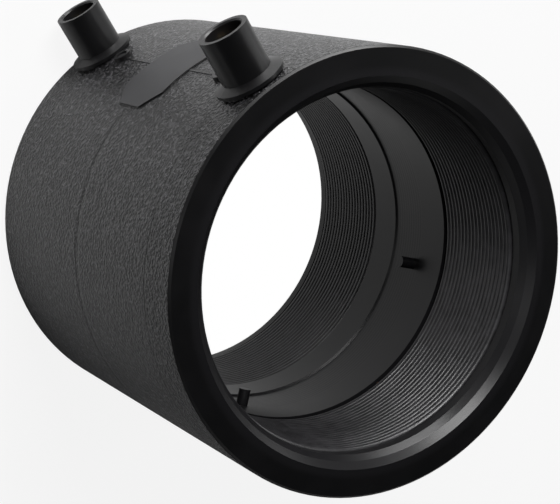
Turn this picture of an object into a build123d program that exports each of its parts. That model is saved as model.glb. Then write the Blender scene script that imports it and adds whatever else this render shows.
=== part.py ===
"""Electrofusion coupler for a 90 mm pipe: a moulded polyethylene sleeve with two heating coils in its
bore and two shrouded contact pins. It stands on its lower end face, with the pipe axis along +Z and the
terminals on the -Y side. Millimetres; the origin is the centre of the lower end face."""

from build123d import *
from math import cos, radians, sin
import os

# Sleeve
body_diameter = 113.0
body_length = 108.0
outer_chamfer = 0.6
bore_diameter = 90.8        # smooth stretch that guides the pipe

# Mouth of each socket
mouth_chamfer = 1.7
lead_in_diameter = 94.8     # wide end of the lead-in taper, below the chamfer
throat_diameter = 92.4      # narrow end of the lead-in taper
lead_in_length = 1.9
mouth_depth = 6.2           # end face to first turn of the coil

# Heating coils: coated turns fused side by side into one ring
turns = 19
turn_pitch = 1.6
crest_clearance = 0.05      # the turns stand this much behind the bore
end_turn_depth = 0.4        # the first and last turns round off by this much
winding_thickness = 1.8

# Cold zone between the coils
cold_zone_length = 14.0
cold_zone_depth = 0.5

# Stop pegs, moulded by the upper half of the core
peg_count = 4
peg_offset = 3.4            # above mid-length
peg_diameter = 3.2
peg_height = 4.6
peg_root = 0.6              # sunk in the wall below the cold zone

# Terminals
terminal_inset = 10.3       # axis of each terminal, from its end of the sleeve
shroud_height = 14.4        # above the sleeve
shroud_diameter = 12.8
shroud_bore = 9.6
shroud_depth = 12.6
rim_chamfer = 0.4
flange_diameter = 17.8
flange_gap = 0.4            # underside of the flange above the sleeve's crown
flange_rim = 0.9
flange_slope = 1.1          # rise of the flange's top from its rim to the shroud
neck_diameter = 15.6
neck_root = 1.8             # sunk below the sleeve's crown

# Contact pins
pin_diameter = 4.0
pin_recess = 3.4            # tip below the shroud's rim
pin_tip_chamfer = 0.5
collar_diameter = 6.4
collar_thickness = 1.6
collar_depth = 1.2          # top of the collar below the shroud's floor
shank_diameter = 2.4

# Fusion indicators
indicator_offset = 29.5     # from mid-length, on the terminals' line
indicator_boss = 5.0
indicator_boss_height = 1.3
indicator_diameter = 2.8
indicator_clearance = 0.1
indicator_recess = 0.4      # below the boss's rim
indicator_depth = 5.0       # floor of the well below the sleeve's surface

# Plate for the maker's label, and the seam beside it
plate_width = 30.0
plate_length = 22.0
plate_corner = 5.5
plate_height = 0.4
plate_root = 4.0            # the plate's and seam's blanks start this far below the crown
seam_width = 0.6
seam_height = 0.2

# Lead between the two coils
lead_diameter = 0.8
lead_cover = 0.4            # plastic between the lead and the cold zone

# Derived sizes
crown = body_diameter / 2
bore_radius = bore_diameter / 2
middle = body_length / 2
coil_length = turns * turn_pitch
coil_radius = bore_radius + winding_thickness
coil_end = mouth_depth + coil_length
cold_radius = bore_radius + cold_zone_depth
lead_radius = cold_radius + lead_cover + lead_diameter / 2
shroud_top = crown + shroud_height
shroud_floor = shroud_top - shroud_depth
terminal_heights = (terminal_inset, body_length - terminal_inset)
indicator_heights = (middle - indicator_offset, middle + indicator_offset)


def radial_plane(distance, angle, height):
    """A plane across the radius at this angle, facing out, at this distance from the pipe axis."""
    out = (cos(radians(angle)), sin(radians(angle)), 0)
    return Plane(origin=(distance * out[0], distance * out[1], height), x_dir=(0, 0, 1), z_dir=out)


def terminal_plane(distance, height):
    """The radial plane on the terminals' side of the sleeve."""
    return radial_plane(distance, -90, height)


def both_ends(half):
    """Mirror (radius, depth from the end) points so that they run from the lower end to the upper one."""
    upper = [(radius, body_length - depth) for radius, depth in reversed(half)]
    return half + upper


def outer_side():
    """Outside of the sleeve, with its chamfered edges."""
    return both_ends([(crown - outer_chamfer, 0), (crown, outer_chamfer)])


def inner_side():
    """Bore: chamfer, lead-in, throat, recess that the coil fills, smooth guide and cold zone."""
    zone_start = middle - cold_zone_length / 2
    return both_ends([
        (lead_in_diameter / 2 + mouth_chamfer, 0),
        (lead_in_diameter / 2, mouth_chamfer),
        (throat_diameter / 2, mouth_chamfer + lead_in_length),
        (throat_diameter / 2, mouth_depth),
        (coil_radius, mouth_depth),
        (coil_radius, coil_end),
        (bore_radius, coil_end),
        (bore_radius, zone_start),
        (cold_radius, zone_start + cold_zone_depth),
    ])


def pin_side(foot):
    """Contact pin in section, as (distance from its own axis, distance from the pipe axis)."""
    tip = shroud_top - pin_recess
    collar_top = shroud_floor - collar_depth
    collar_bottom = collar_top - collar_thickness
    return [
        (0, foot),
        (shank_diameter / 2, foot),
        (shank_diameter / 2, collar_bottom),
        (collar_diameter / 2, collar_bottom),
        (collar_diameter / 2, collar_top),
        (pin_diameter / 2, collar_top),
        (pin_diameter / 2, tip - pin_tip_chamfer),
        (pin_diameter / 2 - pin_tip_chamfer, tip),
        (0, tip),
    ]


def shroud_side():
    """Terminal in section: neck sunk in the wall, flange with a sloping top, shroud."""
    underside = crown + flange_gap
    flange_top = underside + flange_rim
    return [
        (0, crown - neck_root),
        (neck_diameter / 2, crown - neck_root),
        (neck_diameter / 2, underside),
        (flange_diameter / 2, underside),
        (flange_diameter / 2, flange_top),
        (shroud_diameter / 2, flange_top + flange_slope),
        (shroud_diameter / 2, shroud_top),
        (shroud_bore / 2 + rim_chamfer, shroud_top),
        (shroud_bore / 2, shroud_top - rim_chamfer),
        (shroud_bore / 2, shroud_floor),
        (0, shroud_floor),
    ]


def terminal_section(height):
    """The plane through a terminal's axis: X is the distance from that axis, Y from the pipe axis."""
    return Plane(origin=(0, 0, height), x_dir=(1, 0, 0), z_dir=(0, 0, 1)).rotated((180, 0, 0))


def ring(points):
    """Revolve a closed (radius, height) outline about the pipe axis."""
    with BuildPart() as turned:
        with BuildSketch(Plane.XZ):
            with BuildLine():
                Polyline(*points, close=True)
            make_face()
        revolve(axis=Axis.Z)
    return turned.part


def terminal_turning(points, height):
    """Revolve a closed outline about the axis of the terminal at this height."""
    axis_line = Axis((0, 0, height), (0, -1, 0))
    with BuildPart() as turned:
        with BuildSketch(terminal_section(height)):
            with BuildLine():
                Polyline(*points, close=True)
            make_face()
        revolve(axis=axis_line)
    return turned.part


def label_plate():
    """Raised octagon that follows the sleeve's curve, and the seam from it to each indicator's boss."""
    with BuildPart() as plate:
        with BuildSketch(terminal_plane(crown - plate_root, middle)):
            Rectangle(plate_length, plate_width)
        extrude(amount=plate_root * 2)
        chamfer(plate.edges().filter_by(Axis.Y), length=plate_corner)
        with BuildSketch(Plane.XY):
            Circle(crown + plate_height)
        extrude(amount=body_length, mode=Mode.INTERSECT)
    with BuildPart() as seam:
        with BuildSketch(terminal_plane(crown - plate_root, middle)):
            Rectangle(indicator_offset * 2, seam_width)
        extrude(amount=plate_root * 2)
        with BuildSketch(Plane.XY):
            Circle(crown + seam_height)
        extrude(amount=body_length, mode=Mode.INTERSECT)
    return plate.part, seam.part


def winding(start):
    """One heating coil: a ring of fused turns whose end turns round off towards the recess."""
    crest = bore_radius + crest_clearance
    shoulder = crest + end_turn_depth
    end = start + coil_length
    return ring([
        (coil_radius, start),
        (shoulder, start),
        (crest, start + turn_pitch / 2),
        (crest, end - turn_pitch / 2),
        (shoulder, end),
        (coil_radius, end),
    ])


plate, seam = label_plate()
contact_pins = [terminal_turning(pin_side(coil_radius), height) for height in terminal_heights]

# The lead's seat and the lead are the same rod, moulded in.
with BuildPart() as crossover_lead:
    with BuildSketch(Plane.XY.offset(coil_end)):
        with Locations((0, lead_radius)):
            Circle(lead_diameter / 2)
    extrude(amount=body_length - 2 * coil_end)
crossover_lead.part.label = "crossover_lead"

# Moulded body: sleeve, terminals, indicator bosses, plate and stop pegs in one piece.
with BuildPart() as coupler_body:
    with BuildSketch(Plane.XZ):
        with BuildLine():
            Polyline(*outer_side(), *reversed(inner_side()), close=True)
        make_face()
    revolve(axis=Axis.Z)
    for height in terminal_heights:
        add(terminal_turning(shroud_side(), height))
    for height in indicator_heights:
        with BuildSketch(terminal_plane(crown - indicator_depth, height)):
            Circle(indicator_boss / 2)
        extrude(amount=indicator_depth + indicator_boss_height)
    add([plate, seam])
    for height in indicator_heights:
        with BuildSketch(terminal_plane(crown - indicator_depth, height)):
            Circle(indicator_diameter / 2 + indicator_clearance)
        extrude(amount=indicator_depth + indicator_boss_height, mode=Mode.SUBTRACT)
    for peg in range(peg_count):
        angle = 360 / peg_count * (peg + 0.5) - 90
        with BuildSketch(radial_plane(cold_radius - peg_height, angle, middle + peg_offset)):
            Circle(peg_diameter / 2)
        extrude(amount=peg_height + peg_root)
    for height in terminal_heights:  # each pin's seat breaks through into the coil's recess
        add(terminal_turning(pin_side(bore_radius), height), mode=Mode.SUBTRACT)
    add(crossover_lead.part, mode=Mode.SUBTRACT)
coupler_body.part.label = "coupler_body"

os.makedirs("parts", exist_ok=True)
export_step(coupler_body.part, "parts/coupler_body.step")
export_step(crossover_lead.part, "parts/crossover_lead.step")

for end, pin, height in zip(("lower", "upper"), contact_pins, indicator_heights):
    pin.label = f"contact_pin_{end}"
    export_step(pin, f"parts/contact_pin_{end}.step")

    start = mouth_depth if end == "lower" else body_length - coil_end
    coil = winding(start)
    coil.label = f"heating_coil_{end}"
    export_step(coil, f"parts/heating_coil_{end}.step")

    with BuildPart() as indicator_pin:
        with BuildSketch(terminal_plane(crown - indicator_depth, height)):
            Circle(indicator_diameter / 2)
        extrude(amount=indicator_depth + indicator_boss_height - indicator_recess)
    indicator_pin.part.label = f"indicator_pin_{end}"
    export_step(indicator_pin.part, f"parts/indicator_pin_{end}.step")
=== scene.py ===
"""Looks of an electrofusion coupler: grained polyethylene sleeve, wound heating coils, brass pins."""

import math

import bpy
from mathutils import Matrix, Vector


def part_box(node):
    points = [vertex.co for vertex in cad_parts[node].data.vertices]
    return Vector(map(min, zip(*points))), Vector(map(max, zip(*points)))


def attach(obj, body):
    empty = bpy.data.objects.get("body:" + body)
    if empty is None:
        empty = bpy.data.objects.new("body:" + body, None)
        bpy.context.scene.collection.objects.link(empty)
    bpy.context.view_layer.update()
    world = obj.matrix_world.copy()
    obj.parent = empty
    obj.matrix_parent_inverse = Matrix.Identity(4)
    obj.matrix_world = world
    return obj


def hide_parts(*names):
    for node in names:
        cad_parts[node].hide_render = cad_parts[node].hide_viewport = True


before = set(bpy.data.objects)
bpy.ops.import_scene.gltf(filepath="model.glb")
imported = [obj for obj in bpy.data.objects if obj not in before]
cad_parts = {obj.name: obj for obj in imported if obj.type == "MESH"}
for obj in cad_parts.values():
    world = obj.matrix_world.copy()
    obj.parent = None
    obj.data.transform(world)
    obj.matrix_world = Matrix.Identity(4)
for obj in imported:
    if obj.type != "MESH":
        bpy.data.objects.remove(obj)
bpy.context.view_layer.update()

MM = 0.001

# Sizes that the finish follows, in metres
BODY_RADIUS = 56.5 * MM
BODY_LENGTH = 108.0 * MM
MIDDLE = BODY_LENGTH / 2
CAST_DEPTH = 0.8 * MM         # the sleeve's skin lies within this of its crown
WITNESS_HEIGHT = 95.0 * MM    # line of the mould's end ring
MID_LINE_HALF_WIDTH = 1.6 * MM
PLATE_HALF = (15.0 * MM, 11.0 * MM)   # label plate: half its width across, half its length along the pipe
PLATE_CORNER = 5.5 * MM
COLD_ZONE_HALF = 7.0 * MM
COIL_TURNS = 19
COIL_LENGTH = 30.4 * MM
COIL_CREST = 45.45 * MM
COATING_RADIUS = 1.0 * MM     # the coatings of neighbouring turns are fused into each other
STEPS_PER_TURN = 180
WIRE_FACETS = 16
BORE_SIDE = (50.0 * MM, 52.0 * MM)    # the bore's finish gives way to the end faces' between these radii
EDGE_CHAMFER = 0.6 * MM
CORE_RING_PITCH = 1.15 * MM   # turning marks of the core, in the cold zone
TOOL_RING_PITCH = 0.22 * MM   # turning marks on the pins
MID_LINE_WANDER = 1.2 * MM

# Studio
SWEEP_TOP = (-0.05, 0.2)      # the white sweep fades into the ceiling between these heights of the sky
FOOT_EDGE = (48.0 * MM, 55.0 * MM)    # the floor in the bore gives way to the floor outside
SENSOR_WIDTH = 36.0           # of the camera, in millimetres, as are the lens and the places below
LENS = 105.57
CAMERA_PLACE = (136.73, -185.2, 438.7)
CAMERA_TARGET = (-0.58, 4.95, 54.0)
CAMERA_UP = (-0.5933, -0.7854, -0.1765)


def feed(tree, socket, value):
    """Link a node's output to this socket, or set the socket to a plain value."""
    if isinstance(value, bpy.types.NodeSocket):
        tree.links.new(value, socket)
    else:
        socket.default_value = value


def math_node(tree, operation, first, second):
    """Add a Math node and return its output."""
    node = tree.nodes.new("ShaderNodeMath")
    node.operation = operation
    feed(tree, node.inputs[0], first)
    feed(tree, node.inputs[1], second)
    return node.outputs[0]


def fade(tree, value, span, shares):
    """Go from the first share to the second while the value crosses the span."""
    node = tree.nodes.new("ShaderNodeMapRange")
    tree.links.new(value, node.inputs["Value"])
    node.inputs["From Min"].default_value, node.inputs["From Max"].default_value = span
    node.inputs["To Min"].default_value, node.inputs["To Max"].default_value = shares
    return node.outputs[0]


class Value:
    """A socket that can be added, subtracted, multiplied and compared; each step adds a node."""

    def __init__(self, shader, socket):
        self.shader, self.socket = shader, socket

    def _math(self, operation, first, second=0.0):
        node = self.shader.node("ShaderNodeMath", {"operation": operation}, {0: first, 1: second})
        return Value(self.shader, node.outputs[0])

    def __add__(self, other):
        return self._math("ADD", self, other)

    def __sub__(self, other):
        return self._math("SUBTRACT", self, other)

    def __rsub__(self, other):
        return self._math("SUBTRACT", other, self)

    def __mul__(self, other):
        return self._math("MULTIPLY", self, other)

    def __pow__(self, power):
        return self._math("POWER", self, power)

    def __abs__(self):
        return self._math("ABSOLUTE", self)

    __radd__, __rmul__ = __add__, __mul__

    def sine(self):
        return self._math("SINE", self)

    def most(self, other):
        return self._math("MAXIMUM", self, other)

    def rising(self, low, high):
        """0 below low, 1 above high, smooth between."""
        node = self.shader.node("ShaderNodeMapRange", {"interpolation_type": "SMOOTHSTEP"},
                                {"Value": self, "From Min": low, "From Max": high})
        return Value(self.shader, node.outputs[0])

    def between(self, low, high, soft):
        """1 from low to high, fading to 0 over the soft width on either side."""
        return self.rising(low - soft, low) * (1 - self.rising(high, high + soft))


class Shader:
    """One material's nodes, with a Principled shader at the end."""

    def __init__(self, name):
        self.material = bpy.data.materials.new(name)
        self.material.use_nodes = True
        self.tree = self.material.node_tree
        self.tree.nodes.clear()
        self.surface = self.tree.nodes.new("ShaderNodeBsdfPrincipled")
        output = self.tree.nodes.new("ShaderNodeOutputMaterial")
        self.tree.links.new(self.surface.outputs["BSDF"], output.inputs["Surface"])
        self.place = self.node("ShaderNodeTexCoord").outputs["Object"]
        axes = self.node("ShaderNodeSeparateXYZ", {}, {"Vector": self.place})
        self.x, self.y, self.z = (Value(self, axes.outputs[i]) for i in range(3))

    def node(self, kind, settings=None, sockets=None):
        node = self.tree.nodes.new(kind)
        for key, value in (settings or {}).items():
            setattr(node, key, value)
        for key, value in (sockets or {}).items():
            self.feed(node.inputs[key], value)
        return node

    def feed(self, socket, value):
        feed(self.tree, socket, value.socket if isinstance(value, Value) else value)

    def noise(self, scale, detail, roughness):
        node = self.node("ShaderNodeTexNoise", {}, {
            "Vector": self.place, "Scale": scale, "Detail": detail, "Roughness": roughness})
        return Value(self, node.outputs["Fac"])

    def cells(self, scale):
        """Distance from the nearest cell's centre."""
        node = self.node("ShaderNodeTexVoronoi", {"feature": "F1"}, {"Vector": self.place, "Scale": scale})
        return Value(self, node.outputs["Distance"])

    def blend(self, factor, low, high):
        """A colour between two colours."""
        node = self.node("ShaderNodeMix", {"data_type": "RGBA"}, {"Factor": factor})
        self.feed(node.inputs[6], low)
        self.feed(node.inputs[7], high)
        return node.outputs[2]

    def bump(self, height, strength, distance, normal=None):
        sockets = {"Height": height, "Strength": strength, "Distance": distance}
        if normal:
            sockets["Normal"] = normal
        return self.node("ShaderNodeBump", {}, sockets).outputs["Normal"]

    def finish(self, **sockets):
        """Feed the Principled shader's sockets, named with underscores, and hand over the material."""
        for name, value in sockets.items():
            self.feed(self.surface.inputs[name.replace("_", " ")], value)
        return self.material

    def radius(self):
        return (self.x * self.x + self.y * self.y) ** 0.5


def moulded_sleeve():
    """Black polyethylene: spark-eroded grain outside, satin faces, terminals and bore."""
    s = Shader("moulded_sleeve")
    radius = s.radius()
    across, along = abs(s.x) - PLATE_HALF[0], abs(s.z - MIDDLE) - PLATE_HALF[1]
    corner = (across + along + PLATE_CORNER) * math.sqrt(0.5)
    terminal_side = 1 - s.y.rising(-0.02, 0.0)
    outside = radius.rising(BODY_RADIUS - CAST_DEPTH, BODY_RADIUS - CAST_DEPTH + 0.05 * MM)
    outline = across.most(along).most(corner)
    plate = (1 - outline.rising(-0.15 * MM, 0.0)) * terminal_side * outside
    chamfer_start = MIDDLE - EDGE_CHAMFER
    between_faces = 1 - abs(s.z - MIDDLE).rising(chamfer_start - 0.02 * MM, chamfer_start + 0.04 * MM)
    below_terminals = 1 - radius.rising(BODY_RADIUS + 0.1 * MM, BODY_RADIUS + 0.15 * MM)
    skin = outside * below_terminals * between_faces * (1 - plate)
    bore = 1 - radius.rising(*BORE_SIDE)
    end_ring = s.z.rising(WITNESS_HEIGHT - 0.2 * MM, WITNESS_HEIGHT + 0.2 * MM)
    cold_zone = 1 - abs(s.z - MIDDLE).rising(COLD_ZONE_HALF - 0.5 * MM, COLD_ZONE_HALF)

    # Grain: blunt crests standing out of pits, with a faint finer tooth on them; the colour below paints
    # the pits darker as painted shade and the crests lighter as painted highlight
    blobs = s.noise(960, 1.0, 0.4)
    pebbles = s.cells(1300)
    tooth = s.noise(2600, 1.0, 0.4)
    grain = blobs.rising(0.34, 0.66) * 0.6 + (1 - pebbles).rising(0.25, 0.9) * 0.5 + tooth * 0.08
    patches = s.noise(38, 3.0, 0.6)

    # Lines in the grain: the end ring's, the one at mid-length, and the gap round the label plate
    witness = abs(s.z - WITNESS_HEIGHT).rising(0.3 * MM, 0.55 * MM)
    wander = MID_LINE_WANDER * s.noise(45, 2.0, 0.5)
    mid_line = abs(s.z - MIDDLE + wander).rising(0.2 * MM, MID_LINE_HALF_WIDTH)
    shadowed_gap = outline.between(0.0, 0.25 * MM, 0.2 * MM) * terminal_side
    skin_height = grain * (0.8 + 0.35 * end_ring) + 1.4 * witness - 1.0 * shadowed_gap + 0.9 * mid_line

    # Bore and faces: turning marks of the core, faint scuffs
    rings = (s.z * (2 * math.pi / CORE_RING_PITCH)).sine() * cold_zone
    scuffs = s.noise(420, 4.0, 0.7)
    satin_height = rings * 0.35 * bore + scuffs * 0.25

    skin_normal = s.bump(skin_height * skin, 1.0, 0.32 * MM)
    normal = s.bump(satin_height * (1 - skin), 0.22, 0.09 * MM, skin_normal)

    # Pits painted near-black as painted shade, crests painted lighter as painted highlight for the sparkle
    # of the grain
    crests = grain.rising(0.35, 1.05)
    grain_shade_and_highlight = s.blend(crests, (0.003, 0.003, 0.0033, 1), (0.055, 0.054, 0.058, 1))
    worn = s.blend(patches.rising(0.42, 0.72) * 0.3, grain_shade_and_highlight, (0.006, 0.006, 0.0065, 1))
    # The lines are painted near-black: the end ring's as a dark mark, the one at mid-length and the gap
    # round the label plate as painted shade
    lines_and_shade = (1 - witness).most((1 - mid_line) * 0.8).most(shadowed_gap)
    lined_and_shaded = s.blend(lines_and_shade, worn, (0.002, 0.002, 0.0022, 1))
    satin = s.blend(s.noise(60, 3.0, 0.6).rising(0.35, 0.75), (0.003, 0.003, 0.0033, 1),
                    (0.006, 0.0057, 0.0063, 1))
    # The bore's colour is lifted above the faces' as painted light, to brighten it
    satin = s.blend(bore * 0.9, satin, (0.010, 0.0097, 0.0108, 1))
    satin = s.blend(plate, satin, (0.024, 0.024, 0.026, 1))
    colour = s.blend(skin, satin, lined_and_shaded)

    skin_rough = 0.36 - 0.10 * crests - 0.04 * patches
    satin_rough = 0.30 + 0.10 * s.noise(90, 3.0, 0.6) - 0.04 * bore
    roughness = skin_rough * skin + (satin_rough + 0.16 * plate) * (1 - skin)
    return s.finish(Base_Color=colour, Roughness=roughness, Normal=normal, Specular_IOR_Level=0.4)


def coated_wire():
    """Wire coating of the coils: the same black plastic, a little glossier, drawn along the turns."""
    s = Shader("coated_wire")
    along = s.noise(300, 4.0, 0.65)
    fine = s.noise(2400, 2.0, 0.5)
    colour = s.blend(along.rising(0.35, 0.7), (0.016, 0.0155, 0.017, 1), (0.034, 0.033, 0.036, 1))
    return s.finish(Base_Color=colour, Roughness=0.30 + 0.14 * along,
                    Normal=s.bump(along * 0.7 + fine * 0.3, 0.12, 0.05 * MM), Specular_IOR_Level=0.8)


def turned_metal(name, pale, dull, rough):
    """Turned or drawn metal: tool rings across the terminal's axis and a light tarnish."""
    s = Shader(name)
    rings = (s.y * (2 * math.pi / TOOL_RING_PITCH)).sine()
    tarnish = s.noise(500, 4.0, 0.6)
    colour = s.blend(tarnish.rising(0.35, 0.75), pale, dull)
    return s.finish(Base_Color=colour, Metallic=1.0, Roughness=rough + 0.18 * tarnish,
                    Normal=s.bump(rings * 0.6 + tarnish * 0.4, 0.1, 0.02 * MM))


def indicator_plastic():
    """Indicator pins: smooth plastic with a fine tooth."""
    s = Shader("indicator_plastic")
    tooth = s.noise(1800, 3.0, 0.6)
    colour = s.blend(tooth.rising(0.3, 0.7), (0.008, 0.008, 0.009, 1), (0.016, 0.016, 0.017, 1))
    return s.finish(Base_Color=colour, Roughness=0.34 + 0.12 * tooth,
                    Normal=s.bump(tooth, 0.15, 0.03 * MM), IOR=1.5)


def give_material(node, material):
    """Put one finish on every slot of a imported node."""
    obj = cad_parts[node]
    for slot in obj.material_slots:
        slot.material = material


def winding_tree(material):
    """Geometry Nodes for a close-wound coil: a helix with a round wire swept along it."""
    tree = bpy.data.node_groups.new("close_winding", "GeometryNodeTree")
    interface = tree.interface
    sizes = {}
    for label, kind in (("Turns", "NodeSocketFloat"), ("Pitch", "NodeSocketFloat"),
                        ("Crest Radius", "NodeSocketFloat"), ("Wire Radius", "NodeSocketFloat"),
                        ("Start Height", "NodeSocketFloat"),
                        ("Steps Per Turn", "NodeSocketInt"), ("Wire Facets", "NodeSocketInt")):
        sizes[label] = interface.new_socket(label, in_out="INPUT", socket_type=kind).identifier
    interface.new_socket("Geometry", in_out="OUTPUT", socket_type="NodeSocketGeometry")
    nodes, links = tree.nodes, tree.links
    entry, result = nodes.new("NodeGroupInput"), nodes.new("NodeGroupOutput")

    wire_radius = entry.outputs["Wire Radius"]
    helix_radius = math_node(tree, "ADD", entry.outputs["Crest Radius"], wire_radius)
    laps = math_node(tree, "SUBTRACT", entry.outputs["Turns"], 1.0)
    helix = nodes.new("GeometryNodeCurveSpiral")
    links.new(entry.outputs["Steps Per Turn"], helix.inputs["Resolution"])
    links.new(laps, helix.inputs["Rotations"])
    links.new(helix_radius, helix.inputs["Start Radius"])
    links.new(helix_radius, helix.inputs["End Radius"])
    links.new(math_node(tree, "MULTIPLY", laps, entry.outputs["Pitch"]), helix.inputs["Height"])
    wire = nodes.new("GeometryNodeCurvePrimitiveCircle")
    links.new(entry.outputs["Wire Facets"], wire.inputs["Resolution"])
    links.new(wire_radius, wire.inputs["Radius"])
    sweep = nodes.new("GeometryNodeCurveToMesh")
    sweep.inputs["Fill Caps"].default_value = True
    links.new(helix.outputs["Curve"], sweep.inputs["Curve"])
    links.new(wire.outputs["Curve"], sweep.inputs["Profile Curve"])
    lift = nodes.new("ShaderNodeCombineXYZ")
    links.new(math_node(tree, "ADD", entry.outputs["Start Height"], wire_radius), lift.inputs["Z"])
    seat = nodes.new("GeometryNodeTransform")
    links.new(sweep.outputs["Mesh"], seat.inputs["Geometry"])
    links.new(lift.outputs["Vector"], seat.inputs["Translation"])
    smooth = nodes.new("GeometryNodeSetShadeSmooth")
    links.new(seat.outputs["Geometry"], smooth.inputs["Geometry"])
    realize = nodes.new("GeometryNodeRealizeInstances")
    links.new(smooth.outputs["Geometry"], realize.inputs["Geometry"])
    dress = nodes.new("GeometryNodeSetMaterial")
    dress.inputs["Material"].default_value = material
    links.new(realize.outputs["Geometry"], dress.inputs["Geometry"])
    links.new(dress.outputs["Geometry"], result.inputs["Geometry"])
    return tree, sizes


def wind_coil(tree, sizes, node, name):
    """Wind one coil in the place of its packed ring, as a plain mesh."""
    low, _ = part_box(node)
    blank = bpy.data.objects.new(name + "_blank", bpy.data.meshes.new(name + "_blank"))
    bpy.context.scene.collection.objects.link(blank)
    modifier = blank.modifiers.new("winding", "NODES")
    modifier.node_group = tree
    pitch = (COIL_LENGTH - 2 * COATING_RADIUS) / (COIL_TURNS - 1)
    values = {"Turns": float(COIL_TURNS), "Pitch": pitch, "Crest Radius": COIL_CREST,
              "Wire Radius": COATING_RADIUS, "Start Height": low[2],
              "Steps Per Turn": STEPS_PER_TURN, "Wire Facets": WIRE_FACETS}
    for label, value in values.items():
        modifier[sizes[label]] = value
    bpy.context.view_layer.update()
    evaluated = blank.evaluated_get(bpy.context.evaluated_depsgraph_get())
    mesh = bpy.data.meshes.new_from_object(evaluated)
    bpy.data.objects.remove(blank)
    coil = bpy.data.objects.new(name, mesh)
    bpy.context.scene.collection.objects.link(coil)
    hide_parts(node)
    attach(coil, "root")


def aim(obj, place, target, up=(0, 0, 1)):
    """Stand obj at place and point its -Z at target, with its +Y as near up as it goes."""
    place, target = Vector(place) * MM, Vector(target) * MM
    back = (place - target).normalized()
    across = Vector(up).cross(back).normalized()
    turn = Matrix((across, back.cross(across), back)).transposed().to_4x4()
    obj.matrix_world = Matrix.Translation(place) @ turn


def soft_box(name, place, target, size, power):
    """Area lamp of this size; places and sizes in millimetres, power in watts."""
    lamp = bpy.data.lights.new(name, "AREA")
    lamp.shape, lamp.size, lamp.size_y = "RECTANGLE", size[0] * MM, size[1] * MM
    lamp.energy = power
    obj = bpy.data.objects.new(name, lamp)
    bpy.context.scene.collection.objects.link(obj)
    aim(obj, place, target)


def white_behind(tree, seen, unseen, gloss_mask, mask=None):
    """Mix two shaders: the camera and glass see the first, and gloss sees it as far as its mask goes."""
    ray = tree.nodes.new("ShaderNodeLightPath")
    gloss = math_node(tree, "MULTIPLY", ray.outputs["Is Glossy Ray"], gloss_mask)
    factor = math_node(tree, "MAXIMUM", ray.outputs["Is Camera Ray"], ray.outputs["Is Transmission Ray"])
    factor = math_node(tree, "MAXIMUM", factor, gloss)
    if mask is not None:
        factor = math_node(tree, "MULTIPLY", factor, mask)
    mix = tree.nodes.new("ShaderNodeMixShader")
    tree.links.new(factor, mix.inputs[0])
    tree.links.new(unseen, mix.inputs[1])
    tree.links.new(seen, mix.inputs[2])
    return mix.outputs[0]


def studio_world(level):
    """Dim studio. The camera sees white, and gloss sees the white sweep up to the dark ceiling."""
    world = bpy.data.worlds.new("studio")
    world.use_nodes = True
    tree = world.node_tree
    tree.nodes.clear()
    seen, unseen = tree.nodes.new("ShaderNodeBackground"), tree.nodes.new("ShaderNodeBackground")
    seen.inputs["Color"].default_value = (1, 1, 1, 1)
    unseen.inputs["Color"].default_value = (0.93, 0.95, 1.0, 1)
    unseen.inputs["Strength"].default_value = level
    direction = tree.nodes.new("ShaderNodeSeparateXYZ")
    tree.links.new(tree.nodes.new("ShaderNodeTexCoord").outputs["Generated"], direction.inputs[0])
    sweep = fade(tree, direction.outputs["Z"], SWEEP_TOP, (1.0, 0.0))
    output = tree.nodes.new("ShaderNodeOutputWorld")
    surface = white_behind(tree, seen.outputs[0], unseen.outputs[0], sweep)
    tree.links.new(surface, output.inputs["Surface"])
    bpy.context.scene.world = world


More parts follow.
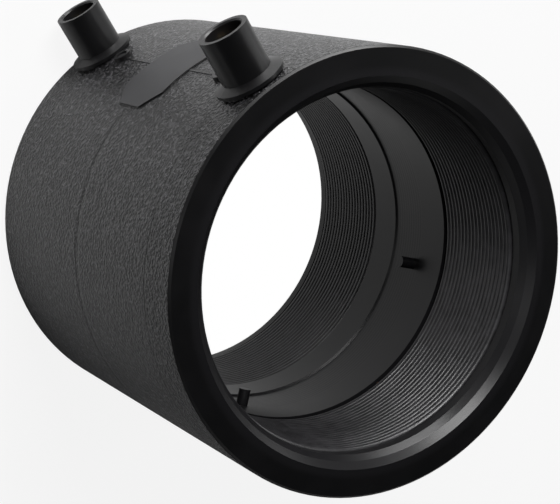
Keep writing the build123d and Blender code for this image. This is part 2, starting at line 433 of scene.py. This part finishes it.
def studio_floor(size, keep_shadow, gloss_shares):
    """Pale floor: white inside the bore's foot, and outside it with this share of the shadow kept.

    Gloss sees the white at the first share inside the foot, and at the second outside."""
    half = size * MM / 2
    mesh = bpy.data.meshes.new("floor")
    mesh.from_pydata([(-half, -half, 0), (half, -half, 0), (half, half, 0), (-half, half, 0)],
                     [], [(0, 1, 2, 3)])
    floor = bpy.data.objects.new("floor", mesh)
    bpy.context.scene.collection.objects.link(floor)
    material = bpy.data.materials.new("floor_paint")
    material.use_nodes = True
    tree = material.node_tree
    tree.nodes.clear()
    paint, white = tree.nodes.new("ShaderNodeBsdfDiffuse"), tree.nodes.new("ShaderNodeEmission")
    paint.inputs["Color"].default_value = (0.8, 0.8, 0.8, 1)
    place = tree.nodes.new("ShaderNodeTexCoord")
    length = tree.nodes.new("ShaderNodeVectorMath")
    length.operation = "LENGTH"
    tree.links.new(place.outputs["Object"], length.inputs[0])
    whiteness = fade(tree, length.outputs["Value"], FOOT_EDGE, (1.0, 1.0 - keep_shadow))
    sheen = fade(tree, length.outputs["Value"], FOOT_EDGE, gloss_shares)
    output = tree.nodes.new("ShaderNodeOutputMaterial")
    surface = white_behind(tree, white.outputs[0], paint.outputs[0], sheen, whiteness)
    tree.links.new(surface, output.inputs["Surface"])
    mesh.materials.append(material)


def set_camera():
    """Camera above the upper mouth, rolled so that the terminals point up and to the left."""
    camera = bpy.data.cameras.new("camera")
    camera.sensor_width = SENSOR_WIDTH
    camera.lens = LENS
    camera.clip_start, camera.clip_end = 0.02, 20.0
    obj = bpy.data.objects.new("camera", camera)
    bpy.context.scene.collection.objects.link(obj)
    aim(obj, CAMERA_PLACE, CAMERA_TARGET, CAMERA_UP)
    bpy.context.scene.camera = obj


def light_up():
    """Soft boxes: on the terminals' side, above the mouth, a faint one into the bore, one on the rim."""
    centre = (0, 0, MIDDLE / MM)
    soft_box("top_box", (-390, -430, 110), centre, (420, 260), 3.5)
    soft_box("mouth_box", (-150, -330, 420), (30, 20, 60), (260, 200), 1.9)
    soft_box("bore_box", (250, -210, 330), (-30, 20, 50), (160, 260), 0.1)
    soft_box("rim_box", (-380, 120, 240), centre, (120, 380), 0.3)


give_material("coupler_body", moulded_sleeve())
brass = turned_metal("turned_brass", (0.55, 0.40, 0.19, 1), (0.30, 0.21, 0.10, 1), 0.24)
for end in ("lower", "upper"):
    give_material(f"contact_pin_{end}", brass)
    give_material(f"indicator_pin_{end}", indicator_plastic())
copper = turned_metal("drawn_copper", (0.72, 0.40, 0.24, 1), (0.5, 0.27, 0.16, 1), 0.3)
give_material("crossover_lead", copper)

tree, sizes = winding_tree(coated_wire())
for end in ("lower", "upper"):
    wind_coil(tree, sizes, f"heating_coil_{end}", f"wound_coil_{end}")

studio_world(0.04)
studio_floor(6000, 0.12, (0.40, 0.02))
set_camera()
light_up()
bpy.context.scene.view_settings.view_transform = "Standard"
